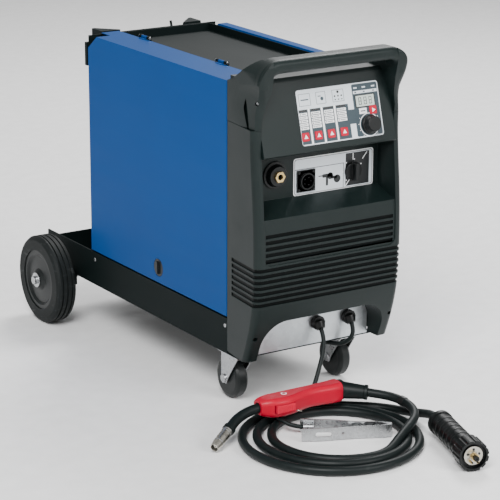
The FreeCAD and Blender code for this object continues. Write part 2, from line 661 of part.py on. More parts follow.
def spool():
    x0 = partitionX - 1.5
    hub = cyl((-128, spoolY, spoolZ), (1, 0, 0), hubR, 128 + x0)
    plate = cyl((x0 - 5, spoolY, spoolZ), (1, 0, 0), 42, 5)
    cap = cyl((-136, spoolY, spoolZ), (1, 0, 0), 20, 8)
    save("spool_hub", fuse(hub, plate, cap))
    w = spoolWidth
    bore = hubR + 0.4
    outline = [(0, bore), (0, spoolR), (3, spoolR), (3, windingR), (w - 3, windingR), (w - 3, spoolR), (w, spoolR),
               (w, bore)]
    hollow = revolveX([(3, bore + 4), (3, windingR - 28), (w - 3, windingR - 28), (w - 3, bore + 4)], -122, spoolY, spoolZ)
    windows = []
    for i in range(6):
        a = math.radians(60 * i)
        centre = (-123, spoolY + 64 * math.cos(a), spoolZ + 64 * math.sin(a))
        windows.append(cyl(centre, (1, 0, 0), 19, w + 2))
    save("wire_spool", revolveX(outline, -122, spoolY, spoolZ).cut([hollow] + windows))


def doorLatch():
    face = cyl((-145.8, 242, 196), (1, 0, 0), 16.6, 3)
    grip = box(-150, -145.8, 239, 245, 184, 208)
    stem = cyl((-142.8, 242, 196), (1, 0, 0), 5, 8)
    tongue = box(-135, -133, 236, 248, 176, 200)
    save("door_latch", fuse(face, grip, stem, tongue))


# ---------------------------------------------------------------- torch set


def tube(points, diameter):
    """A round tube along straight runs, with an arc at every corner that is as large as its two runs allow."""
    pts = [V(*p) for p in points]
    edges = []
    start = pts[0]
    radii = []
    for a, b, c in zip(pts, pts[1:], pts[2:]):
        back = (a - b).normalize()
        on = (c - b).normalize()
        turn = math.pi - back.getAngle(on)
        cut = 0.45 * min((a - b).Length, (c - b).Length)
        radius = cut / math.tan(turn / 2)
        radii.append(radius)
        p, q = b + back * cut, b + on * cut
        middle = b + (back + on).normalize() * (radius / math.cos(turn / 2) - radius)
        edges.append(Part.LineSegment(start, p).toShape())
        edges.append(Part.Arc(p, middle, q).toShape())
        start = q
    edges.append(Part.LineSegment(start, pts[-1]).toShape())
    path = Part.Wire(edges)
    heading = (pts[1] - pts[0]).normalize()
    profile = Part.Wire([Part.makeCircle(diameter / 2, pts[0], heading)])
    solid = path.makePipeShell([profile], True, False)
    solid = Part.Solid(solid) if solid.ShapeType == "Shell" else solid
    want = math.pi * diameter ** 2 / 4 * path.Length
    print("tube length %.0f volume ratio %.3f least radius %.0f" % (path.Length, solid.Volume / want, min(radii)))
    return solid


def toFloorFrame(origin, heading):
    """Placement whose local X runs along heading in the floor plane, with Z up."""
    angle = math.degrees(math.atan2(heading[1], heading[0]))
    return FreeCAD.Placement(V(*origin), FreeCAD.Rotation(V(0, 0, 1), angle))


bootRoute = [(40, -174, 42), (60, -193, 40), (73, -217, 38), (78, -243, 35), (72, -269, 32), (57, -291, 30),
             (36, -308, 28), (12, -321.5, 23), (-8, -333, 18)]
plugRoute = [(50, -156, 8.5), (70, -176, 8.5), (86, -200, 9), (95, -227, 11), (98, -254, 17), (97, -280, 24),
             (91.5, -300, 27.3), (88.2, -311, 27.3)]
workRoute = [(18, -57.6, 131.5), (18, -64, 122), (16, -70, 107), (10, -75, 90), (1, -80, 72), (-9, -86, 55),
             (-21, -93, 39), (-35, -99, 27.5), (-51, -104, 22), (-69, -107, 21.6), (-88, -110, 21.7), (-107, -116, 21.6),
             (-124, -127, 21.7), (-134.5, -144, 21.7), (-135.5, -163, 21.2), (-126, -179.5, 14.5), (-108.8, -190.2, 12.3)]
leadRoute = [(85, -57.6, 131.5), (85, -63, 122), (82, -65, 110), (76, -60, 99), (68, -49, 92), (61, -35, 90.3),
             (54, -21, 90.1), (46, -10, 90.6)]


def torchHandle():
    x0 = -170.0
    stations = [(x0, 0, 13, 12), (x0 + 14, -3, 19.5, 16.5), (x0 + 38, -6, 23, 17.5), (x0 + 60, -5, 22, 17.5),
                (x0 + 88, -1, 18, 17.5), (x0 + 125, 0, 17, 17.5), (x0 + 168, 0, 18.5, 18.5)]
    wires = []
    for x, dy, hy, hz in stations:
        wires.append(roundedRect(x, handleY + dy, handleZ, hy, hz, min(hy, hz) * 0.62, (0, 1, 0), (0, 0, 1)))
    body = Part.makeLoft(wires, True, False)
    # pocket of the trigger, on the side towards -Y, and the pin that it turns on
    pocket = box(x0 + 20, x0 + 60, handleY - 40, handleY - 18, handleZ - 7.5, handleZ + 7.5)
    neckHole = cyl((x0 - 1, handleY, handleZ), (1, 0, 0), 9.2, 26)
    pin = cyl((x0 + 56, handleY - 23, handleZ - 9), (0, 0, 1), 1.5, 18)
    body = body.cut(fuse(pocket, neckHole)).fuse(pin).removeSplitter()
    save("torch_handle", body)
    lever = box(x0 + 21, x0 + 59, handleY - 31.5, handleY - 25, handleZ - 6.8, handleZ + 6.8)
    foot = box(x0 + 50, x0 + 59, handleY - 26, handleY - 20, handleZ - 6.8, handleZ + 6.8)
    bore = cyl((x0 + 56, handleY - 23, handleZ - 9), (0, 0, 1), 1.55, 18)
    save("torch_trigger", fuse(lever, foot).cut(bore))


def torchFront():
    x0 = -170.0
    start = V(x0 + 24, handleY, handleZ)
    knee = V(x0 - 34, handleY, handleZ - 4)
    tip = V(-288, -186, 9.2)
    a = (start - knee).normalize()
    b = (tip - knee).normalize()
    turn = math.pi - a.getAngle(b)
    cut = 30.0
    radius = cut / math.tan(turn / 2)
    p, q = knee + a * cut, knee + b * cut
    middle = knee + (a + b).normalize() * (radius / math.cos(turn / 2) - radius)
    path = Part.Wire([Part.LineSegment(start, p).toShape(), Part.Arc(p, middle, q).toShape(),
                      Part.LineSegment(q, knee + b * 42).toShape()])
    profile = Part.Wire([Part.makeCircle(9, start, (p - start).normalize())])
    neck = path.makePipeShell([profile], True, False)
    base = knee + b * 42
    collar = Part.makeCylinder(11, 9, base, b)
    save("torch_neck", fuse(neck, collar))
    noseStart = base + b * 9
    nozzle = Part.makeCylinder(9.4, 36, noseStart, b).fuse(Part.makeCone(9.4, 7.5, 14, noseStart + b * 36, b))
    nozzle = nozzle.cut(Part.makeCylinder(6.4, 40, noseStart + b * 20, b))
    contactTip = Part.makeCylinder(3, 26, noseStart + b * 20, b).cut(Part.makeCylinder(0.6, 30, noseStart + b * 20, b))
    save("torch_nozzle", Part.makeCompound([nozzle.removeSplitter(), contactTip.fuse(
        Part.makeCylinder(6.3, 2, noseStart + b * 20, b)).removeSplitter()]))


def torchBoot():
    x1 = -170.0 + 168.2
    collar = cyl((x1, handleY, handleZ), (1, 0, 0), 18, 9)
    end = V(*bootRoute[0])
    start = V(x1 + 4, handleY, handleZ)
    way = (end - start)
    length = way.Length
    way.normalize()
    body = Part.makeCone(16, 12.5, length - 6, start, way)
    lip = Part.makeCylinder(13.6, 6, start + way * (length - 6), way)
    save("torch_boot", fuse(collar, body.cut(box(-100, x1, -200, -100, 0, 100)), lip))


def torchHose():
    ends = [tube(bootRoute, hoseD), tube(plugRoute, hoseD)]
    save("torch_hose_ends", Part.makeCompound(ends))
    outer = cyl((-90, -249, 0), (0, 0, 1), 167, coilHeight)
    hole = cyl((-73, -243, -1), (0, 0, 1), 108.5, coilHeight + 2)
    save("torch_hose_coil", outer.cut(hole))


plugHeading = (-0.297, -0.955)
plugRear = (83.0, -328.0, 27.3)


def euroPlug():
    d = V(plugHeading[0], plugHeading[1], 0).normalize()
    hoseEnd = V(*plugRoute[-1])
    rear = V(*plugRear)
    boot = Part.makeCone(11, 14, (rear - hoseEnd).Length, hoseEnd, (rear - hoseEnd))
    flange = Part.makeCylinder(22.5, 10, rear, d)
    grip = Part.makeCylinder(plugR, plugLength - 45, rear + d * 10, d)
    ribs = []
    for i in range(5):
        ribs.append(Part.makeCylinder(plugR + 1.5, 7, rear + d * (26 + 18 * i), d))
    neck = Part.makeCylinder(plugR - 3, 34, rear + d * (plugLength - 35), d)
    brass = Part.makeCylinder(4.9, 18, rear + d * (plugLength - 1), d)
    brass = brass.cut(Part.makeCylinder(1.2, 20, rear + d * (plugLength - 1), d))
    side = V(-d.y, d.x, 0)
    pins = [Part.makeCylinder(1.6, 12, rear + d * (plugLength - 1) + side * s - V(0, 0, 9), d) for s in (-5, 5)]
    save("euro_plug", fuse(boot, flange, grip, neck, brass, *(ribs + pins)))
    at = rear + d * (plugLength - 30)
    nut = Part.makeCylinder(plugNutR, 34, at, d)
    ridges = []
    for i in range(12):
        a = math.radians(30 * i)
        offset = side * (plugNutR * math.cos(a)) + V(0, 0, plugNutR * math.sin(a))
        ridges.append(Part.makeCylinder(2.2, 40, at - d + offset, d))
    nut = nut.cut(fuse(*ridges))
    nut = nut.cut(Part.makeCylinder(plugR - 2.9, 40, at - d, d))
    nut = nut.cut(Part.makeCylinder(22, 12, at + d * 26, d))
    save("euro_plug_ring", nut)


clampStart = (-121.0, -201.0, 0.6)
clampHeading = (0.862, -0.507)
clampPivot = 95.0


def clamp():
    place = toFloorFrame(clampStart, clampHeading)
    L, H = clampLength, clampHeight - 0.6
    t = 1.8
    # local X along the clamp, local Y away from the far arm, local Z up
    far = [(0, 24), (50, 21), (96, 9), (140, 7), (150, 0.3), (L, 0.3), (L, 5), (152, 5), (143, 9), (96, 11),
           (50, 23), (0, 26)]
    near = [(0, -22), (40, -20), (96, -9), (140, -7), (150, -0.3), (L, -0.3), (L, -5), (152, -5), (143, -9),
            (96, -11), (40, -22), (0, -24)]
    farArm = prismZ(far, 0, H)
    nearArm = prismZ(near, 0, H)
    slot = fuse(box(28, 48, -30, -15, H / 2 - 4, H / 2 + 4), cyl((28, -30, H / 2), (0, 1, 0), 4, 15),
                cyl((48, -30, H / 2), (0, 1, 0), 4, 15))
    smallHole = cyl((72, -30, H / 2), (0, 1, 0), 2.5, 20)
    nearArm = nearArm.cut([slot, smallHole])
    for z0 in (0, H - t):
        ear = prismZ([(80, -12), (112, -10), (104, 4.5), (90, 4.5)], z0, z0 + t)
        nearArm = nearArm.fuse(ear)
    for z0 in (t + 0.4, H - 2 * t - 0.4):
        ear = prismZ([(80, 12), (112, 10), (104, -4.5), (90, -4.5)], z0, z0 + t)
        farArm = farArm.fuse(ear)
    pin = cyl((clampPivot, 0, 0), (0, 0, 1), 2.5, H)
    farArm = farArm.cut(cyl((clampPivot, 0, -1), (0, 0, 1), 2.56, H + 2))
    lug = cyl((5, 15.5, H / 2), (1, 0, 0), 5.5, 18)
    bolt = cyl((16, 15, H / 2), (0, 1, 0), 3.5, 12.5)
    farArm = fuse(farArm, lug, bolt)
    nearArm = fuse(nearArm, pin)
    coil = ring((clampPivot, 0, 6), (0, 0, 1), 6.5, 4.2, 11.4)
    legs = [box(60, 94, 5, 6.2, 8, 9.2), box(60, 94, -6.2, -5, 14, 15.2)]
    spring = fuse(coil, *[leg.cut(cyl((clampPivot, 0, 0), (0, 0, 1), 4.3, 30)) for leg in legs])
    for name, shape in (("clamp_far_arm", farArm), ("clamp_near_arm", nearArm), ("clamp_spring", spring)):
        shape.Placement = place.multiply(shape.Placement)
        save(name, shape)


def cables():
    save("work_cable", tube(workRoute, cableD))
    save("short_lead", tube(leadRoute, cableD))


floorPan()
frontLowerPanel()
rightSidePanel()
sideDoor()
topTray()
hingePins()
rearPanel()
bottleBracket()
partition()
lowerFrontCover()
upperFrontCover()
controls()
bayFittings()
glands()
rearWheels()
rearAxle()
casters()
transformer()
fan()
wireFeeder()
spool()
doorLatch()
torchHandle()
torchFront()
torchBoot()
torchHose()
euroPlug()
clamp()
cables()

# The origin: the floor under the centre of everything except the cords and what is on them.
cordNodes = ["torch_hose_ends", "torch_hose_coil", "euro_plug", "euro_plug_ring", "work_cable", "short_lead"]
footprint = FreeCAD.BoundBox()
for name, shape in shapes.items():
    if name not in cordNodes:
        for corner in shape.tessellate(0.05)[0]:
            footprint.add(corner)
shift = V(-footprint.Center.x, -footprint.Center.y, 0)
print("shift", shift, "low", footprint.ZMin)

for name, shape in shapes.items():
    moved = shape.copy()
    moved.translate(shift)
    moved.exportStep("parts/%s.step" % name)
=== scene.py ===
import json
import math
import bmesh
import bpy
from mathutils import Matrix, Vector


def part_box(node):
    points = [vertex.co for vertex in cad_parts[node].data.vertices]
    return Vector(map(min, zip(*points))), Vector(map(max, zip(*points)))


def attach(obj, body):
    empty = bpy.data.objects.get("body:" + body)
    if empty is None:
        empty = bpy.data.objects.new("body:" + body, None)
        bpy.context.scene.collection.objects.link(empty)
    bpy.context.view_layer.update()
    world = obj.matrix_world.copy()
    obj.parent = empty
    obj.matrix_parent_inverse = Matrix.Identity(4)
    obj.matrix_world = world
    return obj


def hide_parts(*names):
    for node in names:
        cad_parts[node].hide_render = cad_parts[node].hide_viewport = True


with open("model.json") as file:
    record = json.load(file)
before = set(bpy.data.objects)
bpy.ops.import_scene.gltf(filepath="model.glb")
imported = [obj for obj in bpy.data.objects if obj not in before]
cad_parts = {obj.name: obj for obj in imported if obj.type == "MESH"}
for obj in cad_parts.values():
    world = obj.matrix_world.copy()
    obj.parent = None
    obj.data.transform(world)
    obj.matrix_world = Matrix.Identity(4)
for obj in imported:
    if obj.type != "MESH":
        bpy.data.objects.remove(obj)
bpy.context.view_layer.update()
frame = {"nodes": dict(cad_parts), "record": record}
nodes = frame["nodes"]
slotOf = {row["node"]: row["material_slot"] for row in frame["record"]["subparts"]}
bodyOf = {node: body for body, members in frame["record"]["behaviour"]["bodies"].items() for node in members}
mm = 0.001

# The cart's own zero: mid-plane, front edge of the blue body, floor. The rear axle is 606 mm behind it.
axleLow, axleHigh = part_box("rear_axle")
cartZero = Vector(((axleLow.x + axleHigh.x) / 2, (axleLow.y + axleHigh.y) / 2 - 606 * mm, 0))
print("frame loaded")


def at(x, y, z):  # millimetres on the cart to metres in the frame
    return cartZero + Vector((x, y, z)) * mm


# Camera, light and floor.

cameraLook = {"place": (-2066, -3062, 1357), "azimuth": -32.372, "elevation": 16.996, "roll": 0.147,
              "lens": 153.96, "shiftX": 0.0257, "shiftY": 0.0420}


def makeCamera(look):
    data = bpy.data.cameras.new("camera")
    camera = bpy.data.objects.new("camera", data)
    bpy.context.collection.objects.link(camera)
    data.sensor_width = 36
    data.lens = look["lens"]
    data.shift_x = look["shiftX"]
    data.shift_y = look["shiftY"]
    data.clip_start = 0.05
    data.clip_end = 60
    turn = math.radians(look["azimuth"])
    rise = math.radians(look["elevation"])
    back = Vector((math.sin(turn) * math.cos(rise), -math.cos(turn) * math.cos(rise), math.sin(rise)))
    camera.rotation_mode = "QUATERNION"
    level = (-back).to_track_quat("-Z", "Y").to_matrix()
    roll = Matrix.Rotation(math.radians(look["roll"]), 3, back)
    camera.rotation_quaternion = (roll @ level).to_quaternion()
    camera.location = at(*look["place"])
    bpy.context.scene.camera = camera


def makeLight(name, place, aim, size, power):
    data = bpy.data.lights.new(name, "AREA")
    data.shape = "RECTANGLE"
    data.size = size[0]
    data.size_y = size[1]
    data.energy = power
    lamp = bpy.data.objects.new(name, data)
    bpy.context.collection.objects.link(lamp)
    lamp.location = place
    lamp.rotation_euler = (Vector(aim) - Vector(place)).to_track_quat("-Z", "Y").to_euler()


def makeStudio():
    world = bpy.data.worlds.new("studio")
    world.use_nodes = True
    world.node_tree.nodes["Background"].inputs["Color"].default_value = (1.0, 1.0, 1.0, 1)
    world.node_tree.nodes["Background"].inputs["Strength"].default_value = 0.5
    bpy.context.scene.world = world
    makeLight("key", (-2.4, -2.6, 3.4), (0, -0.1, 0.2), (2.0, 2.0), 270)
    makeLight("front", (1.0, -3.4, 1.9), (0, -0.3, 0.3), (1.6, 1.2), 80)
    makeLight("rim", (2.0, 1.8, 3.0), (0, 0, 0.3), (1.6, 1.6), 130)
    bm = bmesh.new()
    bmesh.ops.create_grid(bm, x_segments=1, y_segments=1, size=14)
    mesh = bpy.data.meshes.new("floor")
    bm.to_mesh(mesh)
    bm.free()
    floor = bpy.data.objects.new("floor", mesh)
    bpy.context.collection.objects.link(floor)
    floor.location.z = -0.0008
    return floor


# Materials.


class Wire:  # a node socket that works in sums
    def __init__(self, paint, socket):
        self.paint = paint
        self.socket = socket

    def sum(self, operation, first, second):
        return self.paint.add("ShaderNodeMath", {"operation": operation}, {0: first, 1: second})

    def __add__(self, other):
        return self.sum("ADD", self, other)

    def __radd__(self, other):
        return self.sum("ADD", other, self)

    def __sub__(self, other):
        return self.sum("SUBTRACT", self, other)

    def __rsub__(self, other):
        return self.sum("SUBTRACT", other, self)

    def __mul__(self, other):
        return self.sum("MULTIPLY", self, other)

    def __rmul__(self, other):
        return self.sum("MULTIPLY", other, self)


class Paint:  # one material, its nodes added by name
    def __init__(self, name):
        self.material = bpy.data.materials.new(name)
        self.material.use_nodes = True
        self.tree = self.material.node_tree
        self.shader = self.tree.nodes["Principled BSDF"]
        self.place = self.add("ShaderNodeTexCoord", out="Object")

    def put(self, socket, value):
        if isinstance(value, Wire):
            self.tree.links.new(value.socket, socket)
        elif isinstance(value, tuple) and len(value) == 3 and socket.type == "RGBA":
            socket.default_value = (*value, 1)
        else:
            socket.default_value = value

    def add(self, kind, settings=None, sockets=None, out=0):
        node = self.tree.nodes.new(kind)
        for key, value in (settings or {}).items():
            setattr(node, key, value)
        for key, value in (sockets or {}).items():
            self.put(node.inputs[key], value)
        return Wire(self, node.outputs[out])

    def scaled(self, scale, turn=(0, 0, 0)):
        return self.add("ShaderNodeMapping", None, {"Vector": self.place, "Scale": scale, "Rotation": turn})

    def noise(self, scale, detail=3.0, place=None):
        return self.add("ShaderNodeTexNoise", None, {"Vector": place or self.place, "Scale": scale,
                                                     "Detail": detail})

    def cells(self, scale, feature="F1", out="Distance"):
        return self.add("ShaderNodeTexVoronoi", {"feature": feature}, {"Vector": self.place,
                                                                       "Scale": scale}, out)

    def mix(self, share, first, second):
        settings = {"data_type": "RGBA", "clamp_factor": True}
        return self.add("ShaderNodeMix", settings, {0: share, 6: first, 7: second}, 2)

    def band(self, value, low, high):  # 0 below low, 1 above high
        return self.add("ShaderNodeMapRange", None, {"Value": value, "From Min": low, "From Max": high})

    def bump(self, height, depth, strength=1.0):
        return self.add("ShaderNodeBump", None, {"Height": height, "Distance": depth, "Strength": strength})

    def surface(self, **sockets):
        for key, value in sockets.items():
            self.put(self.shader.inputs[key.replace("_", " ")], value)
        return self.material


paints = {}


plasticUsual = {"dusting": 0.12, "dustColour": (0.16, 0.17, 0.17), "strength": 0.6, "shine": 0.3}
dustScale = 38


def plastic(name, look):
    look = {**plasticUsual, **look}
    p = Paint(name)
    grain = p.cells(look["grain"])
    fine = p.noise(look["grain"] * 1.7, 4)
    patch = p.noise(14, 5)
    dust = p.band(p.noise(dustScale, 6), 0.55, 0.85)
    tone = p.mix(patch, look["dark"], look["light"])
    colour = p.mix(dust * look["dusting"], tone, look["dustColour"])
    rough = look["rough"] + (patch - 0.5) * 0.16 + dust * 0.08
    height = grain * 0.7 + fine * 0.5
    normal = p.bump(height, look["depth"], look["strength"])
    paints[name] = p.surface(Base_Color=colour, Roughness=rough, Normal=normal,
                             Specular_IOR_Level=look["shine"])


def powderCoat(name, look):
    p = Paint(name)
    peel = p.noise(look["peel"], 2)
    fine = p.noise(look["peel"] * 5, 3)
    patch = p.noise(5, 4)
    wipe = p.noise(1, 5, p.scaled((9, 3, 34)))
    tone = p.mix(patch, look["dark"], look["light"])
    colour = p.mix(p.band(wipe, 0.56, 0.8) * 0.06, tone, look["haze"])
    rough = look["rough"] + (wipe - 0.5) * 0.14 + (fine - 0.5) * 0.08
    normal = p.bump(peel + fine * 0.35, look["depth"], 0.5)
    paints[name] = p.surface(Base_Color=colour, Roughness=rough, Normal=normal, Coat_Weight=look["coat"],
                             Specular_IOR_Level=look["shine"])


def zincPlate(name, look):
    p = Paint(name)
    spangle = p.cells(look["spangle"], out="Color")
    shade = p.add("ShaderNodeSeparateColor", None, {"Color": spangle})
    lines = p.noise(1, 6, p.scaled(look["brush"]))
    stain = p.band(p.noise(18, 6), 0.5, 0.8)
    tone = p.mix(shade * 0.35 + lines * 0.4, look["dark"], look["light"])
    colour = p.mix(stain * look["stain"], tone, look["stainColour"])
    rough = look["rough"] + shade * 0.08 + stain * 0.12 + (lines - 0.5) * 0.2
    normal = p.bump(lines + shade * 0.2, 0.00006, 0.6)
    paints[name] = p.surface(Base_Color=colour, Roughness=rough, Metallic=1.0 - stain * 0.25, Normal=normal)


def softRubber(name, look):
    p = Paint(name)
    fine = p.noise(look["grain"], 5)
    patch = p.noise(20, 5)
    scuff = p.band(p.noise(1, 6, p.scaled((60, 60, 160))), 0.6, 0.75)
    tone = p.mix(patch, look["dark"], look["light"])
    colour = p.mix(scuff * look["scuff"], tone, (0.20, 0.21, 0.21))
    rough = look["rough"] + (patch - 0.5) * 0.2 - scuff * 0.06
    normal = p.bump(fine + patch * 0.6, look["depth"], 0.6)
    paints[name] = p.surface(Base_Color=colour, Roughness=rough, Normal=normal, Specular_IOR_Level=0.2)


def circuitBoard(name):
    p = Paint(name)
    tracks = p.add("ShaderNodeTexBrick", None, {"Vector": p.place, "Scale": 60.0, "Mortar Size": 0.012,
                                                "Color1": (0.012, 0.12, 0.05, 1), "Color2": (0.016, 0.16,
                                                                                             0.06, 1),
                                                "Mortar": (0.10, 0.30, 0.13, 1)})
    rough = 0.3 + p.noise(300, 3) * 0.2
    paints[name] = p.surface(Base_Color=tracks, Roughness=rough)


def windings(name, look):
    p = Paint(name)
    turns = p.add("ShaderNodeTexWave", {"bands_direction": look["along"]},
                  {"Vector": p.place, "Scale": look["turns"], "Distortion": 0.4, "Detail": 2.0})
    colour = p.mix(turns, look["dark"], look["light"])
    normal = p.bump(turns, look["depth"], 0.8)
    rough = 0.32 + p.noise(90, 4) * 0.15
    paints[name] = p.surface(Base_Color=colour, Roughness=rough, Metallic=0.9, Normal=normal)


def printed(name, colour, rough=0.42):
    p = Paint(name)
    fine = p.noise(900, 3)
    patch = p.noise(30, 4)
    shade = tuple(c * 0.86 for c in colour)
    tone = p.mix(patch, shade, colour)
    paints[name] = p.surface(Base_Color=tone, Roughness=rough + (patch - 0.5) * 0.12, Normal=p.bump(fine,
                                                                                                    0.00002,
                                                                                                    0.4))


def glowing(name):
    p = Paint(name)
    rows = p.add("ShaderNodeTexWave", {"bands_direction": "X"}, {"Vector": p.place, "Scale": 120.0,
                                                                 "Distortion": 0.0})
    colour = p.mix(rows, (0.42, 0.50, 0.46), (0.62, 0.68, 0.62))
    paints[name] = p.surface(Base_Color=colour, Roughness=0.2 + p.noise(60, 2) * 0.05, Coat_Weight=0.8)


coverLook = {"grain": 1300, "dark": (0.0022, 0.0066, 0.0062), "light": (0.0048, 0.0105, 0.0100),
             "rough": 0.44, "depth": 0.00022, "dusting": 0.08, "dustColour": (0.04, 0.05, 0.05),
             "strength": 0.5, "shine": 0.26}
plastic("coverGrain", coverLook)
# a darker copy of the cover plastic: painted shade for the louvre grooves
plastic("grooveShade", {**coverLook, "dark": (0.0004, 0.0012, 0.0012), "light": (0.0008, 0.0020, 0.0020),
                        "dusting": 0.03, "shine": 0.08})
plastic("blackPlastic", {"grain": 1800, "dark": (0.0020, 0.0028, 0.0029), "light": (0.0046, 0.0058, 0.0060),
                         "rough": 0.36, "depth": 0.00008, "dusting": 0.08, "dustColour": (0.07, 0.07,
                                                                                          0.07)})
plastic("redPlastic", {"grain": 1500, "dark": (0.40, 0.0006, 0.018), "light": (0.48, 0.0012, 0.028),
                       "rough": 0.34, "depth": 0.00008, "dusting": 0.08, "dustColour": (0.36, 0.03, 0.05),
                       "shine": 0.18})
plastic("triggerRed", {"grain": 1500, "dark": (0.52, 0.004, 0.030), "light": (0.62, 0.010, 0.045),
                       "rough": 0.36, "depth": 0.00008, "dusting": 0.08, "dustColour": (0.45, 0.08, 0.08),
                       "shine": 0.25})
plastic("buttonRed", {"grain": 2400, "dark": (0.42, 0.0010, 0.022), "light": (0.50, 0.0020, 0.032),
                      "rough": 0.28, "depth": 0.00004, "dusting": 0.05, "dustColour": (0.45, 0.10, 0.10),
                      "shine": 0.25})
plastic("hubPlastic", {"grain": 1400, "dark": (0.0030, 0.0048, 0.0048), "light": (0.0075, 0.0100, 0.0100),
                       "rough": 0.42, "depth": 0.00012, "dusting": 0.16, "dustColour": (0.08, 0.08, 0.08)})
plastic("spoolPlastic", {"grain": 1200, "dark": (0.020, 0.021, 0.022), "light": (0.036, 0.038, 0.040),
                         "rough": 0.42, "depth": 0.00010, "dusting": 0.12})
powderCoat("bluePaint", {"peel": 340, "dark": (0.0, 0.043, 0.178), "light": (0.0, 0.052, 0.212),
                         "rough": 0.42, "haze": (0.002, 0.08, 0.28), "depth": 0.00006, "coat": 0.02,
                         "shine": 0.06})
powderCoat("blackSheet", {"peel": 700, "dark": (0.0018, 0.0048, 0.0048), "light": (0.0042, 0.0082, 0.0082),
                          "rough": 0.55, "haze": (0.03, 0.036, 0.036), "depth": 0.00010, "coat": 0.0,
                          "shine": 0.08})
zincPlate("zincSheet", {"spangle": 90, "brush": (3, 3, 900), "dark": (0.46, 0.49, 0.51), "light": (0.70,
                                                                                                   0.73,
                                                                                                   0.75),
                        "stain": 0.25, "stainColour": (0.34, 0.36, 0.37), "rough": 0.36})
zincPlate("steelPlate", {"spangle": 240, "brush": (400, 30, 30), "dark": (0.36, 0.37, 0.38), "light": (0.62,
                                                                                                       0.63,
                                                                                                       0.64),
                         "stain": 0.35, "stainColour": (0.20, 0.20, 0.20), "rough": 0.26})
zincPlate("nickelPlate", {"spangle": 120, "brush": (30, 500, 30), "dark": (0.40, 0.385, 0.34),
                          "light": (0.66, 0.63, 0.56), "stain": 0.45, "stainColour": (0.16, 0.15, 0.13),
                          "rough": 0.24})
zincPlate("brassTurned", {"spangle": 200, "brush": (60, 700, 60), "dark": (0.50, 0.36, 0.15),
                          "light": (0.78, 0.60, 0.30), "stain": 0.35, "stainColour": (0.24, 0.16, 0.07),
                          "rough": 0.22})
zincPlate("castAlloy", {"spangle": 500, "brush": (200, 200, 200), "dark": (0.42, 0.43, 0.44),
                        "light": (0.58, 0.59, 0.60), "stain": 0.3, "stainColour": (0.3, 0.3, 0.3),
                        "rough": 0.42})
softRubber("hoseRubber", {"grain": 700, "dark": (0.0022, 0.0050, 0.0050), "light": (0.0055, 0.0092, 0.0092),
                          "scuff": 0.04, "rough": 0.46, "depth": 0.00010})
softRubber("tyreRubber", {"grain": 500, "dark": (0.0034, 0.0052, 0.0052), "light": (0.0085, 0.0110, 0.0110),
                          "scuff": 0.16, "rough": 0.62, "depth": 0.00020})
circuitBoard("circuitBoard")
windings("wireTurns", {"along": "X", "turns": 260.0, "dark": (0.30, 0.16, 0.09), "light": (0.72, 0.42,
                                                                                           0.26),
                       "depth": 0.0003})
windings("laminations", {"along": "Y", "turns": 210.0, "dark": (0.06, 0.055, 0.05), "light": (0.16, 0.15,
                                                                                              0.14),
                         "depth": 0.0001})
printed("greyPrint", (0.68, 0.73, 0.77))
printed("whitePrint", (0.90, 0.91, 0.92))
printed("slatePrint", (0.020, 0.040, 0.052))
# black print; the same black also serves as painted shade in screw recesses and plug holes
printed("blackPrintAndHoleShade", (0.008, 0.010, 0.011))
printed("floorPaper", (0.96, 0.96, 0.96), 0.7)
glowing("displayGlass")

finishOf = {"black_sheet": "blackSheet", "blue_paint": "bluePaint", "zinc_sheet": "zincSheet",
            "cover_plastic": "coverGrain", "black_plastic": "blackPlastic", "button_red": "buttonRed",
            "rubber": "hoseRubber", "tyre": "tyreRubber", "hub_plastic": "hubPlastic",
            "steel": "steelPlate", "nickel": "nickelPlate", "brass": "brassTurned",
            "torch_red": "redPlastic", "aluminium": "castAlloy", "board_green": "circuitBoard",
            "core_steel": "laminations", "spool_plastic": "spoolPlastic"}
print("materials made")


# Mesh helpers.


sharpAngle = math.radians(42)


def finished(bm, name, finishes, body, replaced=()):
    # turns a mesh in metres into a piece that rides on a body
    for edge in bm.edges:
        edge.smooth = not (len(edge.link_faces) == 2 and edge.calc_face_angle(0) > sharpAngle)
    for face in bm.faces:
        face.smooth = True
    mesh = bpy.data.meshes.new(name)
    bm.to_mesh(mesh)
    bm.free()
    piece = bpy.data.objects.new(name, mesh)
    bpy.context.collection.objects.link(piece)
    for finish in [finishes] if isinstance(finishes, str) else finishes:
        mesh.materials.append(paints[finish])
    weighted = piece.modifiers.new("weighted", "WEIGHTED_NORMAL")
    weighted.keep_sharp = True
    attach(piece, body)
    if replaced:
        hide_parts(*replaced)
    return piece


def soften(node, width=0.6, segments=2, angle=32, finishes=None, clamp=False):
    # a copy of a designed node with its sharp edges rounded
    bm = bmesh.new()
    bm.from_mesh(nodes[node].data)
    bmesh.ops.remove_doubles(bm, verts=bm.verts, dist=0.00002)
    bmesh.ops.dissolve_limit(bm, angle_limit=math.radians(0.8), verts=bm.verts[:], edges=bm.edges[:])
    limit = math.radians(angle)
    edges = [e for e in bm.edges if len(e.link_faces) == 2 and e.calc_face_angle(0) > limit]
    bmesh.ops.bevel(bm, geom=edges, offset=width * mm, offset_type="OFFSET", segments=segments, profile=0.5,
                    affect="EDGES", clamp_overlap=clamp, material=-1)
    slot = slotOf[node]
    return finished(bm, node + "_shape", finishes or finishOf[slot], bodyOf[node], [node])


